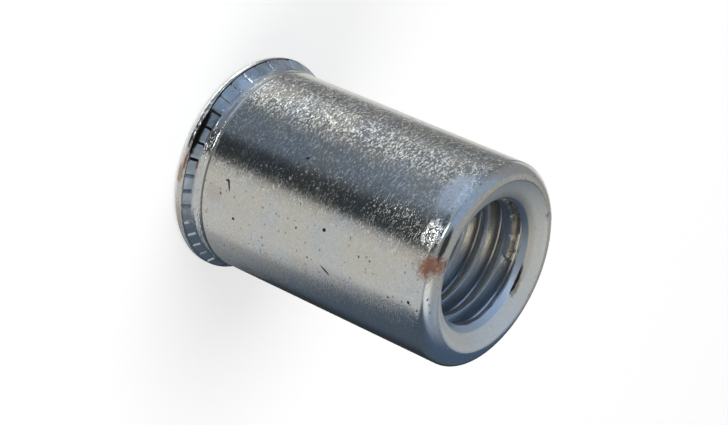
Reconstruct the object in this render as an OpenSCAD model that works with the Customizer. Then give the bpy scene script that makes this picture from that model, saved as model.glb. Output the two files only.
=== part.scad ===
// Open-ended blind rivet nut with a small head, a ring of locking pads under it and a round shank.
// The head face lies on z = 0 and the threaded end points up, both centred on the Z axis.

/* [Shank] */
// Outside diameter of the shank, mm
shank_d = 11.0; // [10.4:0.1:11.5]
// Overall length from the head face to the tip of the threaded end, mm
total_l = 16.3; // [15:0.1:24]
// Radius of the rounding round the threaded end, mm
nose_r = 0.65; // [0.2:0.05:0.9]

/* [Head] */
// Width by which the head stands out past the shank, mm
head_overhang = 0.4; // [0.2:0.05:1.5]
// Height of the plain rim of the head, mm
rim_h = 0.56; // [0.3:0.02:1.5]
// Radius on the edge of the head face, mm
rim_edge_r = 0.1; // [0.05:0.01:0.25]
// Width of the fine groove between the rim and the pads, mm
rim_groove_w = 0.06; // [0.03:0.01:0.12]
// Depth of that groove, mm
rim_groove_depth = 0.05; // [0.02:0.01:0.1]

/* [Locking pads] */
// How many pads stand in the ring
pad_count = 40; // [16:1:48]
// Angle between the pads' faces and the shank's axis, degrees
pad_angle = 45; // [30:1:60]
// Width of the notch between two pads at their faces, mm
notch_w = 0.16; // [0.06:0.01:0.3]
// Depth of that notch, mm
notch_depth = 0.12; // [0.05:0.01:0.2]
// Plain stretch between the foot of a notch and the collar's fillet, mm
pad_foot = 0.04; // [0.02:0.01:0.1]

/* [Collar] */
// Length of the plain collar between the pads and the parting groove, mm
collar_l = 0.52; // [0.3:0.02:1.5]
// Radius of the fillet where the pads meet the collar, mm
collar_fillet_r = 0.15; // [0.05:0.01:0.3]
// Width of the parting groove round the shank, mm
parting_w = 0.12; // [0.06:0.01:0.3]
// Depth of the parting groove, mm
parting_depth = 0.05; // [0.02:0.01:0.15]

/* [Bore] */
// Minor diameter of the thread, mm
thread_minor_d = 6.65; // [5:0.01:7]
// Thickness of the wall round the chamber, which folds when the nut is set, mm
chamber_wall = 0.95; // [0.6:0.05:1.4]
// Depth of the chamber from the head face to the start of its cone, mm
chamber_l = 7.2; // [4:0.1:9]
// Angle of the chamber's closing cone from the axis, degrees
chamber_cone = 60; // [40:1:75]
// Width of the broken edge round the chamber's mouth, mm
chamber_edge = 0.15; // [0.05:0.01:0.3]

/* [Threaded end] */
// Width of the lead-in round the thread's mouth, mm
lead_in_w = 0.325; // [0.1:0.005:0.6]
// Depth of the dish in the end face, mm
dish_depth = 0.4; // [0.1:0.05:0.8]
// Angle of the lead-in from the axis, degrees
lead_in_angle = 45; // [30:1:60]

/* [Hidden] */
$fn = 160;

// Length by which a cutter passes a face
past = 1;

shank_r = shank_d / 2;
head_r = shank_r + head_overhang;
chamber_r = shank_r - chamber_wall;
thread_r = thread_minor_d / 2;
mouth_r = thread_r + lead_in_w;

// Stations along the axis, from the head face up
pad_z = rim_h + rim_groove_w;
collar_z = pad_z + head_overhang / tan(pad_angle);
parting_z = collar_z + collar_l;
chamber_end_z = chamber_l + (chamber_r - thread_r) / tan(chamber_cone);
mouth_z = total_l - dish_depth;
lead_in_z = mouth_z - lead_in_w / tan(lead_in_angle);

// Length that the fillet takes from the pads' cone, and from the collar
fillet_reach = collar_fillet_r * tan(pad_angle / 2);

// The corner of a square outside its inscribed quarter circle, which rounds an edge when cut away
module outside_corner(r, side_x, side_y) {
    difference() {
        translate([side_x > 0 ? 0 : -r, side_y > 0 ? 0 : -r]) square(r);
        circle(r);
    }
}

// Rim, pads, collar and shank as one half section, with square corners
module blank_section() {
    polygon([
        [0, 0], [head_r, 0],
        [head_r, rim_h], [head_r - rim_groove_depth, rim_h + rim_groove_w / 2], [head_r, pad_z],
        [shank_r, collar_z], [shank_r, parting_z],
        [shank_r - parting_depth, parting_z + parting_w / 2], [shank_r, parting_z + parting_w],
        [shank_r, total_l], [0, total_l]
    ]);
}

// Fillet that eases the pads' cone into the collar
module collar_fillet() {
    difference() {
        polygon([
            [shank_r, collar_z],
            [shank_r + fillet_reach * sin(pad_angle), collar_z - fillet_reach * cos(pad_angle)],
            [shank_r, collar_z + fillet_reach]
        ]);
        translate([shank_r + collar_fillet_r, collar_z + fillet_reach]) circle(collar_fillet_r);
    }
}

// Chamber, thread bore at its minor diameter, lead-in and dished end face
module bore_section() {
    ridge_r = shank_r - nose_r;
    polygon([
        [0, -past], [chamber_r + chamber_edge + past, -past], [chamber_r, chamber_edge],
        [chamber_r, chamber_l], [thread_r, chamber_end_z],
        [thread_r, lead_in_z], [mouth_r, mouth_z],
        [ridge_r, total_l], [ridge_r, total_l + past], [0, total_l + past]
    ]);
}

module turned_section() {
    difference() {
        union() {
            blank_section();
            collar_fillet();
        }
        bore_section();
        translate([head_r - rim_edge_r, rim_edge_r]) outside_corner(rim_edge_r, 1, -1);
        translate([shank_r - nose_r, total_l - nose_r]) outside_corner(nose_r, 1, 1);
    }
}

// One V notch between two pads, sunk into their cone from the rim's groove to just short of the fillet
module pad_notch() {
    slant = head_overhang / sin(pad_angle);
    lead = rim_groove_w / 4;
    mouth_w = notch_w * (notch_depth + past) / notch_depth;
    translate([head_r, 0, pad_z])
        rotate([0, -pad_angle, 0])
            translate([0, 0, -lead])
                linear_extrude(lead + slant - fillet_reach - pad_foot)
                    polygon([[-notch_depth, 0], [past, -mouth_w / 2], [past, mouth_w / 2]]);
}

module insert() {
    color([0.68, 0.70, 0.72])
        difference() {
            rotate_extrude() turned_section();
            for (i = [0 : pad_count - 1])
                rotate([0, 0, i * 360 / pad_count]) pad_notch();
        }
}

insert();
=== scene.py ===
import bpy
import math
from mathutils import Matrix, Vector


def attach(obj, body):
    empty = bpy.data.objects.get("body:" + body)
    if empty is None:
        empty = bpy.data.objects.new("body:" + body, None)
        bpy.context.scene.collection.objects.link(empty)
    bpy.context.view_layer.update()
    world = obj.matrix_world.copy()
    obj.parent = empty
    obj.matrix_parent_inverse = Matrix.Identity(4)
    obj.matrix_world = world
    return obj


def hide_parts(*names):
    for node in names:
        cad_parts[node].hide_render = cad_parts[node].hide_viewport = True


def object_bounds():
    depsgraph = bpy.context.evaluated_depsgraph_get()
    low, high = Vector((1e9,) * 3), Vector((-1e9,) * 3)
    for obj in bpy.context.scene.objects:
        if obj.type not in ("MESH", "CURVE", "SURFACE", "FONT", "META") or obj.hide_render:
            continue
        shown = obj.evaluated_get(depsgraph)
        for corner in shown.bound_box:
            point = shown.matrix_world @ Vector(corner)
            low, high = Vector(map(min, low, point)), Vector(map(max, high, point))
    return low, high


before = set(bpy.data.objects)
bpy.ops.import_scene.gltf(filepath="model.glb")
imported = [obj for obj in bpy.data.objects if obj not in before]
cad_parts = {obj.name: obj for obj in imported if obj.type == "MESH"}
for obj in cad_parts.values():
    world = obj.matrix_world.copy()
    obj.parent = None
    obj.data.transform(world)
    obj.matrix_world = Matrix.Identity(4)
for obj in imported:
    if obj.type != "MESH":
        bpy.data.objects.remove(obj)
cadLow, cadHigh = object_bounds()
mm = 0.001
print("frame loaded")


# Small helpers for node trees

# Adds a node; wires are values or sockets, by place or by name
def put(tree, kind, wires=(), **settings):
    node = tree.nodes.new(kind)
    for name, value in settings.items():
        setattr(node, name, value)
    pairs = wires.items() if isinstance(wires, dict) else enumerate(wires)
    for key, value in pairs:
        if isinstance(value, bpy.types.NodeSocket):
            tree.links.new(value, node.inputs[key])
        elif value is not None:
            node.inputs[key].default_value = value
    return node


def calc(tree, operation, *values):
    return put(tree, "ShaderNodeMath", values, operation=operation).outputs[0]


# Product of two or more values
def times(tree, *values):
    product = values[0]
    for value in values[1:]:
        product = calc(tree, "MULTIPLY", product, value)
    return product


def over(tree, a, b):
    return calc(tree, "DIVIDE", a, b)


def plus(tree, a, b):
    return calc(tree, "ADD", a, b)


def minus(tree, a, b):
    return calc(tree, "SUBTRACT", a, b)


# Degrees between an angle and a middle, the shorter way round
def degreesFrom(tree, angle, middle):
    return calc(tree, "ABSOLUTE", calc(tree, "WRAP", minus(tree, angle, middle), 180.0, -180.0))


def softNoise(tree, place, scale, detail, roughness=0.5, distortion=0.0):
    return put(tree, "ShaderNodeTexNoise", {"Vector": place, "Scale": scale, "Detail": detail,
                                            "Roughness": roughness, "Distortion": distortion}).outputs[0]


# Smooth step from 0 at low to 1 at high
def ease(tree, value, low, high, out=(0.0, 1.0)):
    return put(tree, "ShaderNodeMapRange", (value, low, high, out[0], out[1]),
               interpolation_type="SMOOTHSTEP").outputs[0]


def mixValue(tree, share, a, b):
    return put(tree, "ShaderNodeMix", {0: share, 2: a, 3: b}, data_type="FLOAT").outputs[0]


def mixColour(tree, share, a, b, blend="MIX"):
    return put(tree, "ShaderNodeMix", {0: share, 6: a, 7: b}, data_type="RGBA", blend_type=blend).outputs[2]


def rgb(r, g, b):
    return (r, g, b, 1.0)


# A new node group with named sockets; returns the tree with its input and output nodes
def newGroup(name, kind, takes, gives):
    tree = bpy.data.node_groups.new(name, kind)
    for label, socket, value in takes:
        made = tree.interface.new_socket(label, in_out="INPUT", socket_type=socket)
        if value is not None:
            made.default_value = value
    for label, socket in gives:
        tree.interface.new_socket(label, in_out="OUTPUT", socket_type=socket)
    return tree, tree.nodes.new("NodeGroupInput"), tree.nodes.new("NodeGroupOutput")


# Camera

cameraSpot = {
    "lens": 108.8,                          # mm on a 36 mm sensor
    "inPlaneTurn": 23.94,                   # the axis runs this far below the picture's right, degrees
    "lean": 32.5,                           # and leans this far towards the camera, degrees
    "headCentre": (-6.16, 2.791, -118.29),  # centre of the head face in camera axes, mm
    "side": 2.2,                            # its side of the nut, degrees from -Y towards -X
}


# The part's +Z runs right and down in the picture
def makeCamera(spot):
    turn, lean = math.radians(spot["inPlaneTurn"]), math.radians(spot["lean"])
    axisZ = Vector((math.cos(lean) * math.cos(turn), -math.cos(lean) * math.sin(turn), math.sin(lean)))
    across = Vector((math.sin(turn), math.cos(turn), 0))
    axisX = -across
    axisY = axisZ.cross(axisX)
    rows = Matrix.Rotation(-math.radians(spot["side"]), 3, "Z") @ Matrix((axisX, axisY, axisZ))
    place = rows @ -Vector(spot["headCentre"]) * mm
    camera = bpy.data.objects.new("photoCamera", bpy.data.cameras.new("photoCamera"))
    bpy.context.scene.collection.objects.link(camera)
    camera.matrix_world = Matrix.Translation(place) @ rows.to_4x4()
    camera.data.lens, camera.data.sensor_width = spot["lens"], 36
    camera.data.clip_start, camera.data.clip_end = 0.01, 10
    bpy.context.scene.camera = camera
    print("camera at", [round(v / mm, 1) for v in place])


makeCamera(cameraSpot)


# The nut's section, all in mm

nut = {
    "shankR": 5.5, "length": cadHigh.z / mm,
    "noseR": 0.65, "noseWide": 0.92,            # the end's rounding is wider than high
    "ridgeShift": 0.2, "ridgeTurn": 140.0,      # and its ridge lies a little to this side
    "headR": min(cadHigh.x, cadHigh.y) / mm, "rimHeight": 0.56, "rimEdge": 0.28,
    "grooveWidth": 0.06, "grooveDepth": 0.05,
    "spreadTurn": 60.0, "spreadHalf": 46.0, "spreadDown": 0.16, "spreadUp": 0.2,  # where the pads stand taller
    "padFoot": 1.02, "collarTop": 1.54, "partingWidth": 0.12, "partingDepth": 0.05,
    "chamberR": 4.55, "chamberTop": 7.2, "chamberEdge": 0.15,
    "threadMinorR": 3.325, "threadMajorR": 3.99, "pitch": 1.25, "threadPhase": 0.32,
    "threadLow": 7.907, "threadHigh": 15.85, "leadInLow": 15.575, "threadFade": 0.7, "runOut": 0.42,
    "mouthR": 3.65, "dish": 0.4,
    "segmentsPerPad": 8, "pads": 40, "notchHalf": 0.85, "notchDepth": 0.12,
    "padWander": 0.045, "waviness": 0.008, "seed": 7,
    "burrTurn": 134.0, "burrHalf": 50.0, "burrOffset": 0.24, "burrWidth": 0.21,   # rough swelling on the last crest
    "nickTurn": 179.0, "nickHalf": 13.5, "nickDepth": 0.06,                      # long nick on the mouth's edge
    "chipTurn": 132.8, "chipHalf": 3.0, "chipDepth": 0.06,                        # chip in the end's ridge
}

# One turn of the formed thread: share of the pitch, depth of the cut (0 at the crest, 1 at the root)
threadForm = [(0.0, 0.03), (0.06, 0.022), (0.11, 0.002), (0.128, 0.0), (0.145, 0.03), (0.175, 0.13), (0.215, 0.29),
              (0.26, 0.47), (0.31, 0.66), (0.36, 0.82), (0.41, 0.93), (0.455, 0.985), (0.5, 1.0), (0.545, 0.985),
              (0.59, 0.93), (0.64, 0.82), (0.69, 0.66), (0.74, 0.47), (0.785, 0.29), (0.825, 0.13), (0.855, 0.03),
              (0.872, 0.0), (0.89, 0.002), (0.94, 0.022)]


# Points of a straight run, without its last point
def run(start, end, count):
    return [(start[0] + (end[0] - start[0]) * i / count, start[1] + (end[1] - start[1]) * i / count)
            for i in range(count)]


# Points of a rounding from one angle to another, without its last point
def rounding(centre, radius, angleFrom, angleTo, count):
    turns = [math.radians(angleFrom + (angleTo - angleFrom) * i / count) for i in range(count)]
    return [(centre[0] + radius * math.cos(a), centre[1] + radius * math.sin(a)) for a in turns]


noTurn = -1000.0        # turn of a row that isn't on the thread


# Rows of (radius, height, turn, cut, pad, zone); zone 0 is the head, 1 the shank and end face, 2 the bore
def sectionRows(n):
    rows = []

    def add(points, zone, pad=0.0):
        rows.extend((r, z, noTurn, 0.0, pad, zone) for r, z in points)

    rimTop, padTop = n["rimHeight"], n["rimHeight"] + n["grooveWidth"]
    edge, head, shank = n["rimEdge"], n["headR"], n["shankR"]
    add(run((n["chamberR"] + n["chamberEdge"], 0), (head - edge, 0), 5), 0)
    add(rounding((head - edge, edge), edge, -90, 0, 6), 0)
    add(run((head, edge), (head, rimTop - 0.03), 4), 0)
    add(rounding((head - 0.03, rimTop - 0.03), 0.03, 0, 80, 3), 0)
    add([(head - n["grooveDepth"], rimTop + n["grooveWidth"] / 2)], 0, 0.5)
    shares = (0.0, 0.04, 0.3, 0.55, 0.78, 0.82)     # of the way along the pads' cone
    slant = [(head + (shank - head) * t, padTop + (n["padFoot"] - padTop) * t) for t in shares]
    add(slant[:-1], 0, 1.0)
    add(slant[-1:], 0, 0.35)
    add(rounding((shank + 0.15, n["padFoot"] + 0.062), 0.15, 225, 180, 4), 0)
    add(run((shank, n["padFoot"] + 0.062), (shank, n["collarTop"] - 0.03), 4), 0)
    parting = n["collarTop"] + n["partingWidth"] / 2
    add([(shank, n["collarTop"] - 0.03), (shank - 0.01, n["collarTop"])], 0)
    add([(shank - n["partingDepth"], parting - 0.015), (shank - n["partingDepth"], parting + 0.015)], 0)
    shankLow = n["collarTop"] + n["partingWidth"]
    add([(shank - 0.01, shankLow), (shank, shankLow + 0.03)], 1)
    noseLow = n["length"] - n["noseR"]
    add(run((shank, shankLow + 0.1), (shank, noseLow - 0.05), 44), 1)
    add([(shank, noseLow - 0.05)], 1)
    ridgeR, mouthR, mouthZ = shank - n["noseWide"], n["mouthR"], n["length"] - n["dish"]
    stretchOut = n["noseWide"] / n["noseR"]
    add([(ridgeR + r * stretchOut, z) for r, z in rounding((0, noseLow), n["noseR"], 0, 90, 16)], 1)
    add(run((ridgeR, n["length"]), (mouthR + 0.06, mouthZ + 0.02), 10), 1)
    add([(mouthR + 0.06, mouthZ + 0.02), (mouthR + 0.03, mouthZ + 0.004), (mouthR + 0.008, mouthZ - 0.01)], 1)
    add([(mouthR - 0.02, mouthZ - 0.03)], 2)
    low, high = n["threadLow"] / n["pitch"] - 2, n["threadHigh"] / n["pitch"] + 0.1
    turns = [(whole + share, cut) for whole in range(math.floor(low), math.ceil(high) + 1)
             for share, cut in threadForm if low <= whole + share <= high]
    for turn, cut in reversed(turns):
        rows.append((n["threadMinorR"], 0.0, turn, cut, 0.0, 2))
    add([(n["threadMinorR"], n["threadLow"])], 2)
    add(run((n["threadMinorR"] + 0.1, n["threadLow"] - 0.058), (n["chamberR"], n["chamberTop"]), 3), 2)
    add(run((n["chamberR"], n["chamberTop"]), (n["chamberR"], n["chamberEdge"]), 6), 2)
    add(run((n["chamberR"], n["chamberEdge"]), (n["chamberR"] + n["chamberEdge"], 0), 2), 2)
    return rows


# How far a row of the head moves along the axis where the pads are pressed out taller
def padSpread(r, z, n):
    padTop = n["rimHeight"] + n["grooveWidth"]
    if r < 5.3 or z > n["collarTop"]:
        return 0.0
    if z < n["rimHeight"]:
        return -n["spreadDown"] * max(0.0, z - n["rimEdge"]) / (n["rimHeight"] - n["rimEdge"])
    if z < n["padFoot"]:
        return -n["spreadDown"] + (n["spreadDown"] + n["spreadUp"]) * max(0.0, z - padTop) / (n["padFoot"] - padTop)
    return n["spreadUp"] * (1 - (z - n["padFoot"]) / (n["collarTop"] - n["padFoot"]))


# The section as a closed loop of edges, which the Geometry Nodes tree turns into the nut
def makeSection(n):
    rows = sectionRows(n)
    mesh = bpy.data.meshes.new("nutSection")
    rows = [row + (padSpread(row[0], row[1], n),) for row in rows]
    spread = [(i * mm, 0, 0) for i in range(len(rows))]
    mesh.from_pydata(spread, [(i, (i + 1) % len(rows)) for i in range(len(rows))], [])
    for place, name in enumerate(("rowR", "rowZ", "rowTurn", "rowCut", "rowPad", "rowZone", "rowSpread")):
        layer = mesh.attributes.new(name, "FLOAT", "POINT")
        scale = mm if name in ("rowR", "rowZ", "rowSpread") else 1.0
        layer.data.foreach_set("value", [row[place] * scale for row in rows])
    section = bpy.data.objects.new("nutSection", mesh)
    bpy.context.scene.collection.objects.link(section)
    print("section rows", len(rows))
    return section


def readAttribute(tree, name):
    return put(tree, "GeometryNodeInputNamedAttribute", {"Name": name}, data_type="FLOAT").outputs["Attribute"]


# Turns the section round Z, winds the thread, sinks the notches between the pads and wanders the walls a little
def nutTree(inputs):
    takes = [("Geometry", "NodeSocketGeometry", None)] + [(name, kind, None) for name, kind, value in inputs]
    tree, source, result = newGroup("turnedNut", "GeometryNodeTree", takes, [("Geometry", "NodeSocketGeometry")])
    given = source.outputs
    segments = times(tree, given["Pads"], given["Segments Per Pad"])

    # A line with one point for each step round, and the section swept along it
    path = put(tree, "GeometryNodeCurvePrimitiveLine")
    path = put(tree, "GeometryNodeResampleCurve", {"Curve": path.outputs[0], "Count": plus(tree, segments, 1.0)})
    step = put(tree, "GeometryNodeInputIndex").outputs[0]
    path = put(tree, "GeometryNodeStoreNamedAttribute",
               {"Geometry": path.outputs[0], "Name": "step", "Value": step}, data_type="FLOAT", domain="POINT")
    section = put(tree, "GeometryNodeObjectInfo", {"Object": given["Section"]})
    profile = put(tree, "GeometryNodeMeshToCurve", {"Mesh": section.outputs["Geometry"]})
    swept = put(tree, "GeometryNodeCurveToMesh", {"Curve": path.outputs[0], "Profile Curve": profile.outputs[0]})

    # The angle of each step; those beside a notch are drawn in to its edges
    stepNow = readAttribute(tree, "step")
    padNow = calc(tree, "FLOOR", over(tree, stepNow, given["Segments Per Pad"]))
    inPad = minus(tree, stepNow, times(tree, padNow, given["Segments Per Pad"]))
    padAngle = over(tree, 360.0, given["Pads"])
    lastStep = minus(tree, given["Segments Per Pad"], 1.0)
    share = over(tree, minus(tree, inPad, 1.0), minus(tree, lastStep, 1.0))
    plainWidth = minus(tree, padAngle, times(tree, given["Notch Half Angle"], 2.0))
    inAngle = plus(tree, given["Notch Half Angle"], times(tree, share, plainWidth))
    atNotch = calc(tree, "LESS_THAN", inPad, 0.5)
    inAngle = times(tree, inAngle, minus(tree, 1.0, atNotch))
    degrees = plus(tree, times(tree, padNow, padAngle), inAngle)
    angle = calc(tree, "RADIANS", degrees)

    # Height of each row: as drawn, or on the helix and held between the thread's two ends
    turn = readAttribute(tree, "rowTurn")
    onThread = calc(tree, "GREATER_THAN", turn, noTurn / 2)
    turnNow = plus(tree, plus(tree, turn, given["Thread Phase"]), over(tree, degrees, 360.0))
    climb = times(tree, turnNow, given["Pitch"])
    climb = calc(tree, "MINIMUM", calc(tree, "MAXIMUM", climb, given["Thread Low"]), given["Thread High"])
    height = mixValue(tree, onThread, readAttribute(tree, "rowZ"), climb)
    around = put(tree, "ShaderNodeCombineXYZ", (calc(tree, "COSINE", angle), calc(tree, "SINE", angle),
                                                times(tree, height, 300.0))).outputs[0]
    rough = minus(tree, softNoise(tree, around, 9.0, 3.0), 0.5)

    # A stretch of angle around a middle, 1 inside it and 0 outside, with a rough end
    def stretch(middle, half):
        off = plus(tree, over(tree, degreesFrom(tree, degrees, middle), half), rough)
        return ease(tree, off, 1.0, 0.55)

    # The cut fades out at both ends of the thread, and a rough burr fills a part of the last groove
    fromLow = over(tree, minus(tree, climb, given["Thread Low"]), given["Thread Fade"])
    fromHigh = over(tree, minus(tree, given["Thread High"], climb), given["Run Out"])
    fade = times(tree, ease(tree, fromLow, 0.0, 1.0), ease(tree, fromHigh, 0.0, 1.0))
    burrClimb = times(tree, given["Pitch"], over(tree, minus(tree, degrees, given["Burr At"]), 360.0))
    burrOff = minus(tree, climb, plus(tree, given["Burr Height"], burrClimb))
    burrOff = over(tree, calc(tree, "ABSOLUTE", burrOff), given["Burr Width"])
    burr = ease(tree, plus(tree, burrOff, rough), 1.15, 0.75)
    burr = times(tree, burr, stretch(given["Burr At"], given["Burr Half"]))
    fade = times(tree, fade, minus(tree, 1.0, times(tree, burr, 0.9)))
    cut = times(tree, readAttribute(tree, "rowCut"), given["Thread Depth"], fade)
    leadIn = calc(tree, "MAXIMUM", minus(tree, climb, given["Lead In Low"]), 0.0)
    cut = times(tree, calc(tree, "MAXIMUM", cut, leadIn), onThread)

    # The chord of a flat pad, its own small sink and tilt, and the notch
    halfPad = over(tree, padAngle, 2.0)
    offCentre = calc(tree, "RADIANS", minus(tree, inAngle, halfPad))
    chord = over(tree, calc(tree, "COSINE", calc(tree, "RADIANS", halfPad)), calc(tree, "COSINE", offCentre))
    sink = put(tree, "FunctionNodeRandomValue", {"Min": 0.0, "Max": 1.0, "ID": padNow, "Seed": given["Seed"]},
               data_type="FLOAT").outputs["Value"]
    tilt = put(tree, "FunctionNodeRandomValue", {"Min": -1.0, "Max": 1.0, "ID": padNow,
               "Seed": plus(tree, given["Seed"], 1.0)}, data_type="FLOAT").outputs["Value"]
    lean = times(tree, tilt, minus(tree, share, 0.5))
    padSink = times(tree, plus(tree, sink, calc(tree, "ABSOLUTE", lean)), given["Pad Wander"])
    padSink = mixValue(tree, atNotch, padSink, given["Notch Depth"])
    padSink = times(tree, padSink, readAttribute(tree, "rowPad"))
    flat = times(tree, readAttribute(tree, "rowPad"), minus(tree, 1.0, atNotch))
    chordShare = mixValue(tree, flat, 1.0, chord)

    # A slow wander of the outer wall, only inwards
    wander = put(tree, "ShaderNodeTexNoise", {"Vector": around, "W": times(tree, given["Seed"], 0.37),
                                              "Scale": 2.2, "Detail": 1.0}, noise_dimensions="4D").outputs[0]
    onShank = calc(tree, "COMPARE", readAttribute(tree, "rowZone"), 1.0, 0.1)
    wander = times(tree, wander, given["Waviness"], onShank)

    radius = minus(tree, times(tree, readAttribute(tree, "rowR"), chordShare), padSink)
    radius = minus(tree, plus(tree, radius, cut), wander)

    # Rows of the head move where the pads stand taller
    spreadOff = degreesFrom(tree, degrees, given["Spread At"])
    spreadNow = ease(tree, over(tree, spreadOff, given["Spread Half"]), 1.25, 0.75)
    height = plus(tree, height, times(tree, readAttribute(tree, "rowSpread"), spreadNow))

    # The end's ridge lies a little to one side
    fromEnd = minus(tree, given["Length"], height)
    shifted = times(tree, ease(tree, radius, 3.8 * mm, 4.4 * mm), ease(tree, radius, 5.45 * mm, 4.7 * mm),
                    ease(tree, fromEnd, 0.7 * mm, 0.6 * mm), onShank)
    sideways = calc(tree, "COSINE", calc(tree, "RADIANS", minus(tree, degrees, given["Ridge Turn"])))
    radius = plus(tree, radius, times(tree, shifted, sideways, given["Ridge Shift"]))

    # The nick presses the mouth's edge down and out, and the chip takes a little off the end's ridge
    mouthEdge = plus(tree, given["Mouth Radius"], 0.012 * mm)
    edgeOff = calc(tree, "ABSOLUTE", minus(tree, readAttribute(tree, "rowR"), mouthEdge))
    onEdge = times(tree, ease(tree, edgeOff, 0.034 * mm, 0.012 * mm), onShank)
    nick = times(tree, stretch(given["Nick At"], given["Nick Half"]), onEdge, given["Nick Depth"])
    height = minus(tree, height, nick)
    radius = plus(tree, radius, times(tree, nick, 0.5))
    fromTop = minus(tree, given["Length"], height)
    onRidge = times(tree, ease(tree, fromTop, 0.09 * mm, 0.01 * mm), onShank)
    chip = times(tree, stretch(given["Chip At"], given["Chip Half"]), onRidge, given["Chip Depth"])
    height = minus(tree, height, chip)
    alongX, alongY = (times(tree, radius, calc(tree, way, angle)) for way in ("COSINE", "SINE"))
    place = put(tree, "ShaderNodeCombineXYZ", (alongX, alongY, height)).outputs[0]
    shaped = put(tree, "GeometryNodeSetPosition", {"Geometry": swept.outputs[0], "Position": place})
    closed = put(tree, "GeometryNodeMergeByDistance", {"Geometry": shaped.outputs[0], "Distance": 0.000001})
    smooth = put(tree, "GeometryNodeSetShadeSmooth", {"Geometry": closed.outputs[0]}, domain="FACE")
    edgeTurn = put(tree, "GeometryNodeInputMeshEdgeAngle").outputs["Unsigned Angle"]
    sharp = put(tree, "GeometryNodeSetShadeSmooth", {"Geometry": smooth.outputs[0], "Shade Smooth": False,
                "Selection": calc(tree, "GREATER_THAN", edgeTurn, math.radians(38))}, domain="EDGE")
    whole = put(tree, "GeometryNodeRealizeInstances", {"Geometry": sharp.outputs[0]})
    zone = readAttribute(tree, "rowZone")
    dressed = put(tree, "GeometryNodeSetMaterial", {"Geometry": whole.outputs[0], "Material": given["Head Finish"]})
    dressed = put(tree, "GeometryNodeSetMaterial", {"Geometry": dressed.outputs[0], "Material": given["Shank Finish"],
                  "Selection": calc(tree, "GREATER_THAN", zone, 0.55)})
    dressed = put(tree, "GeometryNodeSetMaterial", {"Geometry": dressed.outputs[0], "Material": given["Bore Finish"],
                  "Selection": calc(tree, "GREATER_THAN", zone, 1.55)})
    tree.links.new(dressed.outputs[0], result.inputs[0])
    return tree


# Shader groups that the three finishes share

# Position in mm, height, radius and the angle round the nut from the camera's side, in degrees
def nutPlaces():
    tree, source, result = newGroup("nutPlaces", "ShaderNodeTree", [("Vector", "NodeSocketVector", None)],
                                    [("Place", "NodeSocketVector"), ("Height", "NodeSocketFloat"),
                                     ("Radius", "NodeSocketFloat"), ("Angle", "NodeSocketFloat")])
    place = put(tree, "ShaderNodeVectorMath", {0: source.outputs[0], "Scale": 1000.0}, operation="SCALE").outputs[0]
    parts = put(tree, "ShaderNodeSeparateXYZ", (place,)).outputs
    radius = calc(tree, "SQRT", plus(tree, times(tree, parts[0], parts[0]), times(tree, parts[1], parts[1])))
    away = times(tree, parts[1], -1.0)
    side = times(tree, parts[0], -1.0)
    angle = minus(tree, calc(tree, "DEGREES", calc(tree, "ARCTAN2", side, away)), cameraSpot["side"])
    angle = calc(tree, "WRAP", angle, 180.0, -180.0)
    for name, value in (("Place", place), ("Height", parts[2]), ("Radius", radius), ("Angle", angle)):
        tree.links.new(value, result.inputs[name])
    return tree


# Short raised strokes that lean along a helix
def strokeField():
    tree, source, result = newGroup("strokeField", "ShaderNodeTree",
                                    [("Place", "NodeSocketVector", None), ("Lean", "NodeSocketFloat", 0.15),
                                     ("Length", "NodeSocketFloat", 0.4), ("Width", "NodeSocketFloat", 0.1),
                                     ("Shift", "NodeSocketFloat", 0.0), ("Threshold", "NodeSocketFloat", 0.52)],
                                    [("Height", "NodeSocketFloat")])
    given = source.outputs
    tall = put(tree, "ShaderNodeSeparateXYZ", (given["Place"],)).outputs[2]
    wound = put(tree, "ShaderNodeVectorRotate", {"Vector": given["Place"], "Angle": times(tree, tall, given["Lean"])},
                rotation_type="Z_AXIS").outputs[0]
    fine = over(tree, 1.0, given["Width"])
    longWay = over(tree, 1.0, given["Length"])
    scale = put(tree, "ShaderNodeCombineXYZ", (fine, fine, longWay)).outputs[0]
    scaled = put(tree, "ShaderNodeVectorMath", (wound, scale), operation="MULTIPLY").outputs[0]
    noise = put(tree, "ShaderNodeTexNoise", {"Vector": scaled, "W": given["Shift"], "Scale": 0.6, "Detail": 1.5,
                "Roughness": 0.55, "Distortion": 1.5}, noise_dimensions="4D").outputs[0]
    high = plus(tree, given["Threshold"], 0.10)
    tree.links.new(ease(tree, noise, given["Threshold"], high), result.inputs[0])
    return tree


# Small dark pits: how many of the cells hold one, and how wide it is
def pitSpecks():
    tree, source, result = newGroup("pitSpecks", "ShaderNodeTree",
                                    [("Place", "NodeSocketVector", None), ("Spacing", "NodeSocketFloat", 0.6),
                                     ("Share", "NodeSocketFloat", 0.3), ("Size", "NodeSocketFloat", 0.12)],
                                    [("Mask", "NodeSocketFloat")])
    given = source.outputs
    scale = over(tree, 1.0, given["Spacing"])
    bent = put(tree, "ShaderNodeTexNoise", {"Vector": given["Place"], "Scale": 6.0, "Detail": 1.0}).outputs[1]
    bent = put(tree, "ShaderNodeVectorMath", {0: bent, "Scale": 0.12}, operation="SCALE").outputs[0]
    moved = put(tree, "ShaderNodeVectorMath", (given["Place"], bent), operation="ADD").outputs[0]
    cells = put(tree, "ShaderNodeTexVoronoi", {"Vector": moved, "Scale": scale})
    pick = put(tree, "ShaderNodeSeparateXYZ", (cells.outputs["Color"],)).outputs
    held = calc(tree, "LESS_THAN", pick[0], given["Share"])
    size = times(tree, given["Size"], plus(tree, 0.4, pick[1]))
    spot = ease(tree, over(tree, cells.outputs["Distance"], size), 1.0, 0.45)
    tree.links.new(times(tree, spot, held), result.inputs[0])
    return tree


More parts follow.
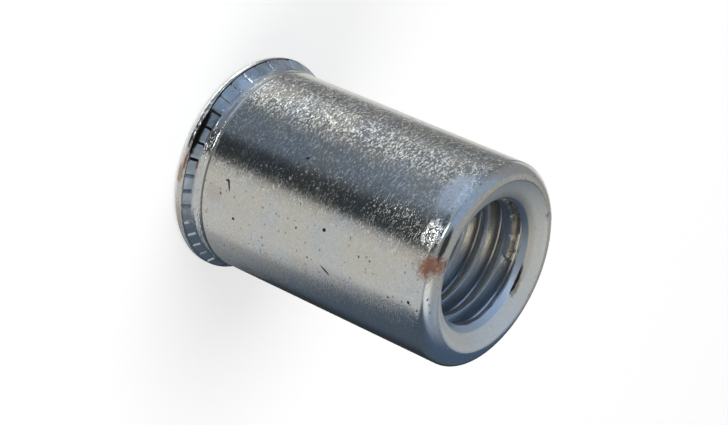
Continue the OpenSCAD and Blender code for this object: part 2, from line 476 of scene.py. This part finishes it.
# A patch at an angle and height, with an edge broken by noise
def brokenPatch():
    tree, source, result = newGroup("brokenPatch", "ShaderNodeTree",
                                    [("Place", "NodeSocketVector", None), ("Height", "NodeSocketFloat", 0.0),
                                     ("Angle", "NodeSocketFloat", 0.0), ("At Height", "NodeSocketFloat", 0.0),
                                     ("At Angle", "NodeSocketFloat", 0.0), ("Half Height", "NodeSocketFloat", 1.0),
                                     ("Half Angle", "NodeSocketFloat", 5.0), ("Slant", "NodeSocketFloat", 0.0),
                                     ("Break", "NodeSocketFloat", 0.6), ("Grain", "NodeSocketFloat", 3.0),
                                     ("Softness", "NodeSocketFloat", 0.3)],
                                    [("Mask", "NodeSocketFloat")])
    given = source.outputs
    along = minus(tree, given["Height"], given["At Height"])
    turned = minus(tree, minus(tree, given["Angle"], given["At Angle"]), times(tree, along, given["Slant"]))
    turned = calc(tree, "WRAP", turned, 180.0, -180.0)
    a = over(tree, along, given["Half Height"])
    b = over(tree, turned, given["Half Angle"])
    far = calc(tree, "SQRT", plus(tree, times(tree, a, a), times(tree, b, b)))
    noise = softNoise(tree, given["Place"], given["Grain"], 4.0, 0.65)
    far = plus(tree, far, times(tree, minus(tree, noise, 0.5), given["Break"]))
    start = plus(tree, 1.0, given["Softness"])
    stop = minus(tree, 1.0, given["Softness"])
    tree.links.new(ease(tree, far, start, stop), result.inputs[0])
    return tree


groups = {"places": nutPlaces(), "strokes": strokeField(), "pits": pitSpecks(), "patch": brokenPatch()}


def useGroup(tree, name, wires):
    node = tree.nodes.new("ShaderNodeGroup")
    node.node_tree = groups[name]
    for key, value in wires.items():
        if isinstance(value, bpy.types.NodeSocket):
            tree.links.new(value, node.inputs[key])
        else:
            node.inputs[key].default_value = value
    return node.outputs


# A new material with its shader, and the shared places read from Object coordinates
def startFinish(name):
    finish = bpy.data.materials.new(name)
    finish.use_nodes = True
    tree = finish.node_tree
    shader = tree.nodes["Principled BSDF"]
    shader.inputs["Metallic"].default_value = 1.0
    coords = put(tree, "ShaderNodeTexCoord").outputs["Object"]
    return finish, tree, shader, useGroup(tree, "places", {"Vector": coords})


def setBump(tree, shader, height, depth):
    bump = put(tree, "ShaderNodeBump", {"Strength": 1.0, "Distance": depth * mm, "Height": height})
    tree.links.new(bump.outputs[0], shader.inputs["Normal"])


# A broken patch on the nut; spot is its height, angle, half height and half angle
def patchAt(tree, places, spot, slant=0.0, ragged=0.6, grain=3.0, softness=0.3):
    wires = {name: places[name] for name in ("Place", "Height", "Angle")}
    wires.update(zip(("At Height", "At Angle", "Half Height", "Half Angle"), spot))
    wires.update({"Slant": slant, "Break": ragged, "Grain": grain, "Softness": softness})
    return useGroup(tree, "patch", wires)[0]


zinc = {
    "colour": rgb(0.62, 0.625, 0.625), "warm": rgb(0.64, 0.61, 0.54), "blue": rgb(0.52, 0.59, 0.67),
    "pit": rgb(0.10, 0.095, 0.09), "grimeAndShade": rgb(0.02, 0.018, 0.016), "rust": rgb(0.36, 0.13, 0.07),
    "tan": rgb(0.50, 0.36, 0.24), "padBlueReflection": rgb(0.36, 0.42, 0.49), "padPaleReflection": rgb(0.66, 0.70, 0.73),
    "face": rgb(0.86, 0.86, 0.83), "calm": rgb(0.74, 0.79, 0.86), "blueReflection": rgb(0.58, 0.68, 0.82),
    "crest": rgb(0.46, 0.50, 0.56), "root": rgb(0.88, 0.86, 0.82), "brown": rgb(0.33, 0.25, 0.17),
    "leadIn": rgb(0.56, 0.66, 0.79), "crinkleGlint": rgb(0.95, 0.95, 0.93),
    "strokeDepth": 0.0045, "strokeLean": 0.18, "strokeLength": 0.065, "strokeWidth": 0.165,
    "smooth": 0.09, "dull": 0.30, "satin": 0.46,
}

# Dirt and wear on the shank, and one painted dark reflection: colour, share, middle height and angle, half height and
# angle, slant, break, grain
shankMarks = [
    ("rust", 0.80, 15.98, -11.5, 0.36, 5.0, 4.0, 2.6, 5.0),
    ("rust", 0.40, 15.85, -15.5, 0.42, 4.0, 0.0, 4.5, 7.0),
    ("brown", 0.30, 15.50, -13.0, 0.35, 4.0, 0.0, 5.0, 7.0),
    # this one is a painted dark reflection along the end's ridge, on the camera's side
    ("grimeAndShade", 0.9, 16.17, 1.0, 0.06, 9.0, 0.0, 1.1, 4.0),
    ("grimeAndShade", 1.0, 3.25, -16.5, 0.13, 1.4, -22.0, 0.8, 6.0),
    ("grimeAndShade", 0.9, 3.10, -14.4, 0.14, 0.6, 0.0, 0.8, 6.0),
    ("grimeAndShade", 1.0, 3.84, -33.8, 0.08, 0.8, 0.0, 0.8, 6.0),
    ("grimeAndShade", 1.0, 9.64, -17.4, 0.10, 1.0, 0.0, 0.8, 6.0),
    ("grimeAndShade", 0.9, 7.08, 13.6, 0.10, 1.1, 0.0, 0.8, 6.0),
    ("grimeAndShade", 1.0, 15.29, -35.2, 0.08, 0.9, 0.0, 0.8, 6.0),
    ("grimeAndShade", 0.9, 10.03, -39.3, 0.30, 0.7, -6.0, 0.7, 6.0),
    ("tan", 0.45, 4.35, -72.5, 0.9, 4.0, 0.0, 1.6, 3.0),
    ("tan", 0.25, 2.4, -24.0, 0.5, 5.0, 0.0, 1.6, 3.0),
]


# Lays each mark over the colour; also gives back where they are
def layMarks(tree, marks, z, places, colour, dark):
    for tint, share, *spot, slant, ragged, grain in marks:
        mask = times(tree, patchAt(tree, places, spot, slant, ragged, grain), share)
        colour = mixColour(tree, mask, colour, z[tint])
        dark = calc(tree, "MAXIMUM", dark, mask)
    return colour, dark


# Places on the shank in degrees from the camera's side; patches are height, angle and their halves
shankZones = {
    "strokesAt": 52.0, "strokesFade": (29.0, 10.0),         # where the strokes stand out most
    "farEdge": (76.0, 66.0), "nearEdge": (-17.0, -4.0),     # and where they end
    "paintedBlueSide": -95.0,                                       # middle of the side where a pale-blue reflection is painted on the ridge
    # calm is a smoother patch with a painted pale-blue reflection; crinkled holds crinkles with painted glints
    "calm": (15.3, 29.0, 0.62, 13.0), "crinkled": (15.52, 4.0, 0.44, 6.5),
    "nick": (15.87, 180.0, 0.03, 12.5), "nickTint": (15.93, 186.0, 0.07, 8.0), "boreNick": (15.86, 180.0, 0.05, 13.0),
}


def makeShankFinish(z):
    finish, tree, shader, places = startFinish("zincShank")
    place, tall, angle, radius = (places[name] for name in ("Place", "Height", "Angle", "Radius"))
    strokes = useGroup(tree, "strokes", {"Place": place, "Lean": z["strokeLean"], "Length": z["strokeLength"],
                                         "Width": z["strokeWidth"], "Shift": 0.0, "Threshold": 0.56})[0]
    crossed = useGroup(tree, "strokes", {"Place": place, "Lean": -0.22, "Length": 0.07, "Width": 0.15, "Shift": 4.0,
                                         "Threshold": 0.57})[0]
    finer = useGroup(tree, "strokes", {"Place": place, "Lean": 0.9, "Length": 0.045, "Width": 0.10, "Shift": 7.0,
                                       "Threshold": 0.46})[0]
    grit = softNoise(tree, place, 7.0, 3.0, 0.6)
    cloud = softNoise(tree, place, 0.5, 4.0, 0.6)
    fewPits = useGroup(tree, "pits", {"Place": place, "Spacing": 0.62, "Share": 0.32, "Size": 0.13})[0]
    manyPits = useGroup(tree, "pits", {"Place": place, "Spacing": 0.34, "Share": 0.55, "Size": 0.22})[0]
    sideways = calc(tree, "COSINE", calc(tree, "RADIANS", minus(tree, angle, nut["ridgeTurn"])))
    ridge = plus(tree, times(tree, sideways, nut["ridgeShift"]), nut["shankR"] - nut["noseWide"] - 0.04)
    fromRidge = minus(tree, radius, ridge)
    face = times(tree, ease(tree, fromRidge, 0.05, -0.05), ease(tree, tall, 15.72, 15.84))
    ringed = times(tree, ease(tree, radius, 4.15, 3.72), ease(tree, angle, 30.0, 100.0, (0.1, 1.0)))
    calm = patchAt(tree, places, shankZones["calm"], ragged=0.5, softness=0.35)
    strokes = calc(tree, "MAXIMUM", strokes, times(tree, crossed, 0.85))
    plain = minus(tree, 1.0, times(tree, calm, 0.85))
    plain = times(tree, plain, ease(tree, tall, 16.1, 15.85))

    # The strokes stand out most above the dark band and fade before the far edge
    centre = calc(tree, "ABSOLUTE", minus(tree, angle, shankZones["strokesAt"]))
    centre = ease(tree, centre, *shankZones["strokesFade"])
    centre = times(tree, centre, ease(tree, tall, 2.0, 12.0, (1.0, 0.5)))
    farEdge = ease(tree, angle, *shankZones["farEdge"], (0.1, 1.0))
    busy = times(tree, mixValue(tree, centre, 0.20, 1.7), farEdge)
    grain = times(tree, strokes, times(tree, busy, ease(tree, cloud, 0.3, 0.55, (0.6, 1.15))))
    grain = plus(tree, grain, times(tree, finer, mixValue(tree, centre, 0.07, 0.2)))
    grain = plus(tree, grain, times(tree, grit, 0.10))
    grain = times(tree, grain, plain)

    # Crinkles on the nose beside the dark band; their colour is lifted to near white as painted glints
    crinkled = patchAt(tree, places, shankZones["crinkled"], ragged=0.8, grain=4.0)
    crinklesAndGlints = softNoise(tree, place, 3.2, 1.0, distortion=0.8)
    crinklesAndGlints = times(tree, ease(tree, crinklesAndGlints, 0.36, 0.66), times(tree, crinkled, 9.0))
    grain = mixValue(tree, face, plus(tree, grain, crinklesAndGlints), times(tree, grit, 0.45))
    colour = mixColour(tree, times(tree, ease(tree, cloud, 0.38, 0.66), 0.6), z["colour"], z["warm"])
    colour = mixColour(tree, times(tree, ease(tree, cloud, 0.55, 0.3), 0.4), colour, z["blue"])
    # Painted pale-blue reflection on the calm, smoother patch
    colour = mixColour(tree, calm, colour, z["calm"])
    # Painted near-white glints over the crinkles
    colour = mixColour(tree, calc(tree, "MINIMUM", crinklesAndGlints, 0.9), colour, z["crinkleGlint"])
    # Painted pale-blue reflection on the ridge's low side
    paintedBlueSide = ease(tree, calc(tree, "ABSOLUTE", minus(tree, angle, shankZones["paintedBlueSide"])), 80.0, 50.0)
    colour = mixColour(tree, times(tree, paintedBlueSide, ease(tree, tall, 15.9, 16.15)), colour, z["blueReflection"])
    colour = mixColour(tree, face, colour, mixColour(tree, times(tree, ringed, 0.35), z["face"], z["brown"]))

    # Strokes lighter and darker than the duller metal: real burnish wear, with painted glints that are strongest where
    # they stand out most
    lively = times(tree, ease(tree, angle, *shankZones["nearEdge"]), times(tree, farEdge, plain))
    burnishAndGlints = times(tree, strokes, mixValue(tree, centre, 0.75, 1.5))
    burnishAndGlints = minus(tree, burnishAndGlints, mixValue(tree, centre, 0.32, 0.52))
    shade = plus(tree, 1.0, times(tree, burnishAndGlints, mixValue(tree, lively, 0.12, 1.0)))
    dust = softNoise(tree, place, 11.0, 2.0, 0.7)
    fineShade = times(tree, mixValue(tree, grit, 1.14, 0.86), mixValue(tree, dust, 1.22, 0.78))
    shade = mixValue(tree, face, times(tree, shade, fineShade), plus(tree, 0.35, times(tree, fineShade, 0.65)))
    shade = put(tree, "ShaderNodeCombineXYZ", (shade, shade, shade)).outputs[0]
    colour = mixColour(tree, 1.0, colour, shade, "MULTIPLY")
    dark = calc(tree, "MAXIMUM", times(tree, fewPits, 0.9), times(tree, manyPits, 0.5))
    dark = times(tree, dark, mixValue(tree, face, 1.0, 0.5))
    colour = mixColour(tree, dark, colour, z["pit"])
    bodyColour, bodyDark = layMarks(tree, shankMarks, z, places, colour, dark)
    colour, dark = mixColour(tree, face, bodyColour, colour), mixValue(tree, face, bodyDark, dark)
    nick = patchAt(tree, places, shankZones["nick"], ragged=1.6, grain=6.0)
    nick = times(tree, nick, ease(tree, radius, 3.76, 3.69))
    tint = patchAt(tree, places, shankZones["nickTint"], ragged=1.8, grain=6.0)
    colour = mixColour(tree, times(tree, tint, 0.75), colour, z["brown"])
    colour = mixColour(tree, nick, colour, z["grimeAndShade"])
    tree.links.new(colour, shader.inputs["Base Color"])
    rough = plus(tree, mixValue(tree, cloud, z["smooth"], z["smooth"] + 0.10), times(tree, grit, 0.05))
    rough = plus(tree, rough, times(tree, calm, 0.14))
    rough = mixValue(tree, face, rough, z["satin"])
    tree.links.new(mixValue(tree, calc(tree, "MAXIMUM", dark, nick), rough, 0.6), shader.inputs["Roughness"])
    setBump(tree, shader, minus(tree, grain, dark), z["strokeDepth"])
    return finish


# The same columns for the head
headMarks = [
    ("rust", 0.85, 0.45, -13.5, 0.09, 4.6, 0.0, 1.8, 6.0),
    ("rust", 0.8, 0.97, -13.5, 0.05, 2.6, 0.0, 1.6, 6.0),
    ("tan", 0.75, 0.28, -20.0, 0.22, 5.0, 0.0, 1.4, 4.0),
    ("tan", 0.4, 0.30, -44.0, 0.22, 9.0, 0.0, 1.6, 4.0),
    # these two are painted dark reflections by the rim and at the pads' foot, on the camera's side
    ("grimeAndShade", 1.0, 0.58, 3.0, 0.15, 13.0, 0.0, 0.9, 4.0),
    ("grimeAndShade", 0.7, 1.0, 6.0, 0.07, 10.0, 0.0, 1.4, 4.0),
]


def makeHeadFinish(z):
    finish, tree, shader, places = startFinish("zincHead")
    place = places["Place"]
    drawn = put(tree, "ShaderNodeAttribute", attribute_type="GEOMETRY", attribute_name="rowZ").outputs["Fac"]
    tall = times(tree, drawn, 1000.0)      # height as drawn in the section, mm
    strokes = useGroup(tree, "strokes", {"Place": place, "Lean": 0.3, "Length": 0.14, "Width": 0.3, "Shift": 9.0})[0]
    grit = softNoise(tree, place, 7.0, 3.0, 0.6)
    pits = useGroup(tree, "pits", {"Place": place, "Spacing": 0.5, "Share": 0.25, "Size": 0.1})[0]
    cloud = softNoise(tree, place, 0.9, 3.0)
    onPads = times(tree, ease(tree, tall, 0.60, 0.64), ease(tree, tall, 1.06, 1.0))
    # The pads' blue-grey is a painted reflection, with random tone, and it turns paler past -22 degrees round
    padColour = mixColour(tree, ease(tree, cloud, 0.4, 0.65), z["padBlueReflection"], z["blue"])
    padColour = mixColour(tree, ease(tree, places["Angle"], -22.0, -45.0, (0.0, 0.9)), padColour, z["padPaleReflection"])
    colour = mixColour(tree, onPads, z["colour"], padColour)
    padStep = 360.0 / nut["pads"]
    fromNotch = calc(tree, "ABSOLUTE", calc(tree, "WRAP", plus(tree, places["Angle"], cameraSpot["side"]),
                                            padStep / 2, -padStep / 2))
    # Painted shade in the notches between the pads, strongest near 1 degree round, where a dark reflection is painted
    notch = ease(tree, plus(tree, fromNotch, times(tree, grit, 0.9)), 1.5, 0.9)
    notch = times(tree, notch, times(tree, ease(tree, tall, 0.60, 0.63), ease(tree, tall, 0.99, 0.96)))
    fromDarkReflection = calc(tree, "ABSOLUTE", minus(tree, places["Angle"], 1.0))
    notch = times(tree, notch, ease(tree, fromDarkReflection, 26.0, 12.0, (0.12, 1.0)))
    # Painted shade line in the groove under the rim, darker towards positive angles
    rimGrooveShade = times(tree, ease(tree, tall, 0.55, 0.57), ease(tree, tall, 0.63, 0.61))
    rimGrooveShade = times(tree, rimGrooveShade, ease(tree, places["Angle"], -35.0, 5.0, (0.45, 1.0)))
    # Painted shade line in the parting groove, darker at negative angles
    parting = times(tree, ease(tree, tall, 1.53, 1.55), ease(tree, tall, 1.67, 1.65))
    parting = times(tree, parting, ease(tree, places["Angle"], 25.0, -5.0, (0.1, 0.55)))
    dark = times(tree, pits, 0.7)
    for line in (notch, rimGrooveShade, parting):
        dark = calc(tree, "MAXIMUM", dark, line)
    colour = mixColour(tree, dark, colour, z["grimeAndShade"])
    colour, dark = layMarks(tree, headMarks, z, places, colour, dark)
    tree.links.new(colour, shader.inputs["Base Color"])
    rough = mixValue(tree, onPads, z["smooth"] + 0.06, z["dull"])
    tree.links.new(mixValue(tree, dark, rough, 0.7), shader.inputs["Roughness"])
    pressed = calc(tree, "ABSOLUTE", minus(tree, places["Angle"], 38.0))
    pressed = times(tree, onPads, ease(tree, pressed, 44.0, 20.0, (0.3, 2.2)))
    grain = times(tree, strokes, calc(tree, "MAXIMUM", minus(tree, 1.0, onPads), pressed))
    grain = plus(tree, grain, times(tree, grit, 0.5))
    setBump(tree, shader, minus(tree, grain, dark), 0.008)
    return finish


def makeBoreFinish(z):
    finish, tree, shader, places = startFinish("zincBore")
    place, tall, angle, radius = (places[name] for name in ("Place", "Height", "Angle", "Radius"))
    grit = softNoise(tree, place, 6.0, 3.0, 0.65)
    cloud = softNoise(tree, place, 1.1, 3.0)
    pits = useGroup(tree, "pits", {"Place": place, "Spacing": 0.45, "Share": 0.3, "Size": 0.09})[0]
    root = ease(tree, radius, 3.36, 3.45)
    leadIn = ease(tree, tall, 15.50, 15.62)
    lower = degreesFrom(tree, angle, -125.0)
    # Painted reflection and shade: crests darker blue-grey than the lighter grooves, grooves blue towards the lower
    # side, the lead-in bright blue on the lower side and darker blue elsewhere; the grooves' warm tone is random
    grooves = mixColour(tree, cloud, z["root"], z["warm"])
    grooves = mixColour(tree, ease(tree, lower, 75.0, 35.0), grooves, z["blueReflection"])
    colour = mixColour(tree, root, z["crest"], grooves)
    leadInColour = mixColour(tree, ease(tree, lower, 85.0, 40.0), z["padBlueReflection"], z["leadIn"])
    colour = mixColour(tree, leadIn, colour, leadInColour)
    dark = times(tree, pits, mixValue(tree, root, 0.8, 0.15))
    colour = mixColour(tree, dark, colour, z["pit"])
    nick = patchAt(tree, places, shankZones["boreNick"], ragged=0.5, grain=5.0)
    colour = mixColour(tree, nick, colour, z["grimeAndShade"])
    tree.links.new(colour, shader.inputs["Base Color"])
    rough = mixValue(tree, root, z["satin"], z["dull"] - 0.03)
    rough = mixValue(tree, leadIn, rough, z["satin"] - 0.04)
    tree.links.new(mixValue(tree, calc(tree, "MAXIMUM", dark, nick), rough, 0.6), shader.inputs["Roughness"])
    setBump(tree, shader, minus(tree, times(tree, grit, mixValue(tree, root, 1.0, 0.12)), dark), 0.012)
    return finish


# The nut itself: the tree's result as one plain mesh

# An angle from the camera's side as the sweep counts it, 0 to 360 from +X
def meshTurn(turn):
    return (-90.0 - turn - cameraSpot["side"]) % 360


# Height of the crest nearest to the mouth at an angle from the camera's side
def lastCrest(n, turn):
    share = n["threadPhase"] + meshTurn(turn) / 360
    return n["pitch"] * (math.floor(n["leadInLow"] / n["pitch"] - 0.25 - share) + share)


# Name, kind and value of each input of the nut's tree; lengths turn into metres, and angles are in degrees
def nutInputs(n, section):
    lengths = {"Notch Depth": n["notchDepth"], "Pad Wander": n["padWander"], "Pitch": n["pitch"],
               "Thread Low": n["threadLow"], "Thread High": n["threadHigh"], "Lead In Low": n["leadInLow"],
               "Run Out": n["runOut"], "Thread Depth": n["threadMajorR"] - n["threadMinorR"],
               "Thread Fade": n["threadFade"], "Burr Height": lastCrest(n, n["burrTurn"]) + n["burrOffset"],
               "Burr Width": n["burrWidth"], "Nick Depth": n["nickDepth"], "Mouth Radius": n["mouthR"],
               "Chip Depth": n["chipDepth"], "Length": n["length"], "Ridge Shift": n["ridgeShift"],
               "Waviness": n["waviness"]}
    plain = {"Notch Half Angle": n["notchHalf"], "Thread Phase": n["threadPhase"],
             "Burr At": meshTurn(n["burrTurn"]), "Burr Half": n["burrHalf"],
             "Nick At": meshTurn(n["nickTurn"]), "Nick Half": n["nickHalf"],
             "Chip At": meshTurn(n["chipTurn"]), "Chip Half": n["chipHalf"],
             "Spread At": meshTurn(n["spreadTurn"]), "Spread Half": n["spreadHalf"],
             "Ridge Turn": meshTurn(n["ridgeTurn"])}
    counts = {"Pads": n["pads"], "Segments Per Pad": n["segmentsPerPad"], "Seed": n["seed"]}
    finishes = {"Head Finish": makeHeadFinish(zinc), "Shank Finish": makeShankFinish(zinc),
                "Bore Finish": makeBoreFinish(zinc)}
    rows = [("Section", "NodeSocketObject", section)]
    rows += [(name, "NodeSocketFloat", value * mm) for name, value in lengths.items()]
    for kind, values in (("NodeSocketFloat", plain), ("NodeSocketInt", counts), ("NodeSocketMaterial", finishes)):
        rows += [(name, kind, value) for name, value in values.items()]
    return rows


def makeNut(n):
    section = makeSection(n)
    inputs = nutInputs(n, section)
    tree = nutTree(inputs)
    holder = bpy.data.objects.new("nutBody", bpy.data.meshes.new("nutHolder"))
    bpy.context.scene.collection.objects.link(holder)
    modifier = holder.modifiers.new("turnedNut", "NODES")
    modifier.node_group = tree
    values = {name: value for name, kind, value in inputs}
    for item in tree.interface.items_tree:
        if item.in_out == "INPUT" and item.name in values:
            modifier[item.identifier] = values[item.name]
    ready = bpy.context.evaluated_depsgraph_get()
    mesh = bpy.data.meshes.new_from_object(holder.evaluated_get(ready))
    holder.modifiers.clear()
    holder.data = mesh
    mesh.name = "nutBody"
    bpy.data.objects.remove(section)

    # rowZ stays, because the head's finish reads it
    for name in ("step", "rowR", "rowTurn", "rowCut", "rowPad", "rowZone", "rowSpread"):
        if name in mesh.attributes:
            mesh.attributes.remove(mesh.attributes[name])
    turnOut(mesh)
    print("nut faces", len(mesh.polygons), "materials", [m.name for m in mesh.materials])
    return holder


# Faces point outwards where the signed volume is positive
def turnOut(mesh):
    if sum(face.area * face.center.dot(face.normal) for face in mesh.polygons) < 0:
        mesh.flip_normals()
        print("faces turned out")


nutBody = makeNut(nut)
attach(nutBody, "root")
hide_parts("insert")


# Floor, world, lamps and cards

# Lengths are in metres
stage = {
    "floorSize": 1.2, "floorDrop": 0.00002, "floorGlow": 0.385, "ambient": 0.35,
    "cardReach": 0.3, "cardGap": 0.005,     # each card hangs this much nearer than the one before it
    "lampReach": 0.35, "lampSize": 0.25, "topWatts": 0.36, "fillWatts": 0.25,
}


# Shares: 1 for camera, glossy and transmission rays, which see a white background
def seenDirectly(tree):
    path = put(tree, "ShaderNodeLightPath").outputs
    seen = calc(tree, "MAXIMUM", path["Is Camera Ray"], path["Is Glossy Ray"])
    return calc(tree, "MAXIMUM", seen, path["Is Transmission Ray"])


def makeWorld(s):
    world = bpy.data.worlds.new("plainWorld")
    world.use_nodes = True
    tree = world.node_tree
    back = tree.nodes["Background"]
    back.inputs["Color"].default_value = rgb(1, 1, 1)
    tree.links.new(mixValue(tree, seenDirectly(tree), s["ambient"], 1.0), back.inputs["Strength"])
    bpy.context.scene.world = world


def makeFloor(s):
    half, low = s["floorSize"] / 2, -s["floorDrop"]
    mesh = bpy.data.meshes.new("paleFloor")
    corners = [(-half, -half, low), (half, -half, low), (half, half, low), (-half, half, low)]
    mesh.from_pydata(corners, [], [(0, 1, 2, 3)])
    floor = bpy.data.objects.new("paleFloor", mesh)
    bpy.context.scene.collection.objects.link(floor)
    finish = bpy.data.materials.new("palePaper")
    finish.use_nodes = True
    tree = finish.node_tree
    shader = tree.nodes["Principled BSDF"]
    shader.inputs["Base Color"].default_value = rgb(0.9, 0.9, 0.9)
    shader.inputs["Roughness"].default_value = 1.0
    shader.inputs["Specular IOR Level"].default_value = 0.0
    shader.inputs["Emission Color"].default_value = rgb(1, 1, 1)
    tree.links.new(times(tree, seenDirectly(tree), s["floorGlow"]), shader.inputs["Emission Strength"])
    mesh.materials.append(finish)
    floor.visible_glossy = False     # reflections look past it to the white world and the cards


# Direction at an angle round from the camera's side and a rise above the horizon, in degrees
def aim(turn, rise):
    a, e = math.radians(turn + cameraSpot["side"]), math.radians(rise)
    return Vector((-math.sin(a) * math.cos(e), -math.cos(a) * math.cos(e), math.sin(e)))


# A glowing card seen only in reflections; corners are (turn, rise) in order round it
def makeCard(name, reach, corners, colour, level, soft):
    steps = 24
    points, faces, spots = [], [], []
    for i in range(steps + 1):
        for j in range(steps + 1):
            u, v = i / steps, j / steps
            turn, rise = (sum(w * c[k] for w, c in zip(((1 - u) * (1 - v), u * (1 - v), u * v, (1 - u) * v), corners))
                          for k in (0, 1))
            points.append(aim(turn, rise) * reach)
            spots.append((u, v))
    for i in range(steps):
        for j in range(steps):
            a = i * (steps + 1) + j
            faces.append((a, a + steps + 1, a + steps + 2, a + 1))
    mesh = bpy.data.meshes.new(name)
    mesh.from_pydata(points, [], faces)
    layer = mesh.uv_layers.new(name="cardUV")
    layer.data.foreach_set("uv", [x for loop in mesh.loops for x in spots[loop.vertex_index]])
    card = bpy.data.objects.new(name, mesh)
    bpy.context.scene.collection.objects.link(card)
    finish = bpy.data.materials.new(name)
    finish.use_nodes = True
    tree = finish.node_tree
    tree.nodes.clear()
    uv = put(tree, "ShaderNodeSeparateXYZ", (put(tree, "ShaderNodeTexCoord").outputs["UV"],)).outputs
    mask = 1.0
    for axis, (before, after) in enumerate(soft):
        if before:
            mask = times(tree, mask, ease(tree, uv[axis], 0.0, before))
        if after:
            mask = times(tree, mask, ease(tree, uv[axis], 1.0, 1.0 - after))
    glow = put(tree, "ShaderNodeEmission", {"Color": rgb(*colour), "Strength": level})
    clear = put(tree, "ShaderNodeBsdfTransparent")
    mixed = put(tree, "ShaderNodeMixShader", (mask, clear.outputs[0], glow.outputs[0]))
    put(tree, "ShaderNodeOutputMaterial", {"Surface": mixed.outputs[0]})
    mesh.materials.append(finish)
    card.visible_camera = card.visible_diffuse = card.visible_transmission = False
    card.visible_volume_scatter = card.visible_shadow = False


# Corners of a card between two turns and two rises
def box(left, right, low, high):
    return [(left, low), (right, low), (right, high), (left, high)]


poolBlue = (0.70, 0.97, 1.32)

# name, corners (turn, rise), colour, level, soft edges ((start, end) along u, (start, end) along v)
cards = [
    ("surround", box(-180, 180, -16, 89), (0.96, 1.0, 1.04), 0.36, ((0, 0), (0.04, 0))),
    ("deepGrey", box(-181, -95, -58, -12), (0.88, 0.97, 1.06), 0.20, ((0, 0.1), (0, 0))),
    ("warmPanel", box(-180, -11.5, -58, 58), (1.0, 1.0, 0.96), 0.70, ((0.75, 0), (0, 0.15))),
    ("farSky", box(148, 200, 20, 76), (1.0, 1.0, 0.96), 0.48, ((0.2, 0.1), (0.2, 0.1))),
    ("creamSide", [(130, -58), (177, -58), (177, 18), (130, 0)], (1.0, 1.0, 0.95), 0.85, ((0.1, 0.1), (0, 0.12))),
    ("darkPanel", box(-12, 34, -58, 60), (0.85, 0.98, 1.08), 0.065, ((0, 0.4), (0, 0.1))),
    ("bluePanel", box(10, 66, -58, -24), (0.80, 0.98, 1.20), 0.27, ((0.3, 0.15), (0, 0.1))),
    ("sparkBase", box(44, 114, -58, -24), (0.94, 1.0, 1.02), 0.34, ((0.4, 0.2), (0, 0.1))),
    ("greyPanel", [(100, -58), (113, -58), (167, -14), (106, -14)], (0.97, 1.0, 1.0), 0.30, ((0.15, 0.06), (0, 0))),
    ("paleBlue", box(26, 94, -27, 62), (0.80, 0.97, 1.20), 0.62, ((0.12, 0.12), (0.05, 0.12))),
    ("bluePool", [(-72, -28.6), (-104, -33), (-104, 60), (-72, 60)], poolBlue, 0.12, ((0.25, 0), (0.014, 0.1))),
    ("bluePoolMid", [(-104, -33), (-126, -34.1), (-126, 58), (-104, 60)], poolBlue, 0.12, ((0, 0), (0.014, 0.1))),
    ("bluePoolFar", [(-126, -34.1), (-179, -34.9), (-179, 40), (-126, 58)], poolBlue, 0.12, ((0, 0.1), (0.014, 0.12))),
    ("blackPool", [(-126, -34), (-184, -34.9), (-184, 6), (-126, 6)], (0.8, 0.95, 1.2), 0.04, ((0.4, 0.1), (0.03, 0.3))),
    ("mouthBlue", box(60, 168, 40, 84), (0.72, 0.95, 1.28), 0.52, ((0.15, 0.2), (0.3, 0.1))),
    ("darkBlue", box(14, 33, -27, 62), (0.75, 0.97, 1.25), 0.15, ((0.2, 0.3), (0.05, 0.1))),
    ("zenith", box(-180, 180, 80, 89.5), (0.9, 1.0, 1.08), 0.28, ((0, 0), (0.3, 0))),
    ("skyWarm", box(-172, -58, 52, 78), (1.0, 0.95, 0.84), 1.05, ((0.4, 0.15), (0.3, 0.3))),
    ("sparkLamp", box(78, 122, -82, -33), (1.0, 0.99, 0.92), 4.5, ((0.25, 0.25), (0, 0.3))),
    ("noseLamp", box(-4, 16, -17, 6), (1.0, 1.0, 0.97), 10.0, ((0.2, 0.25), (0.2, 0.2))),
    ("ridgeLamp", box(12, 32, 62, 71), (0.95, 1.0, 1.05), 8.0, ((0.2, 0.2), (0.2, 0.2))),
]


def makeLamp(name, turn, rise, reach, size, power):
    data = bpy.data.lights.new(name, "AREA")
    data.shape, data.size, data.energy = "DISK", size, power
    lamp = bpy.data.objects.new(name, data)
    bpy.context.scene.collection.objects.link(lamp)
    lamp.location = aim(turn, rise) * reach
    lamp.rotation_mode = "QUATERNION"
    lamp.rotation_quaternion = (-lamp.location).to_track_quat("-Z", "Y")
    lamp.visible_camera = False
    lamp.visible_glossy = False


makeWorld(stage)
makeFloor(stage)
for depth, (name, corners, colour, level, soft) in enumerate(cards):
    makeCard(name, stage["cardReach"] - depth * stage["cardGap"], corners, colour, level, soft)
makeLamp("topLamp", 60, 60, stage["lampReach"], stage["lampSize"], stage["topWatts"])
makeLamp("fillLamp", -80, 50, stage["lampReach"], stage["lampSize"], stage["fillWatts"])
bpy.context.scene.view_settings.view_transform = "Standard"
print("stage ready")
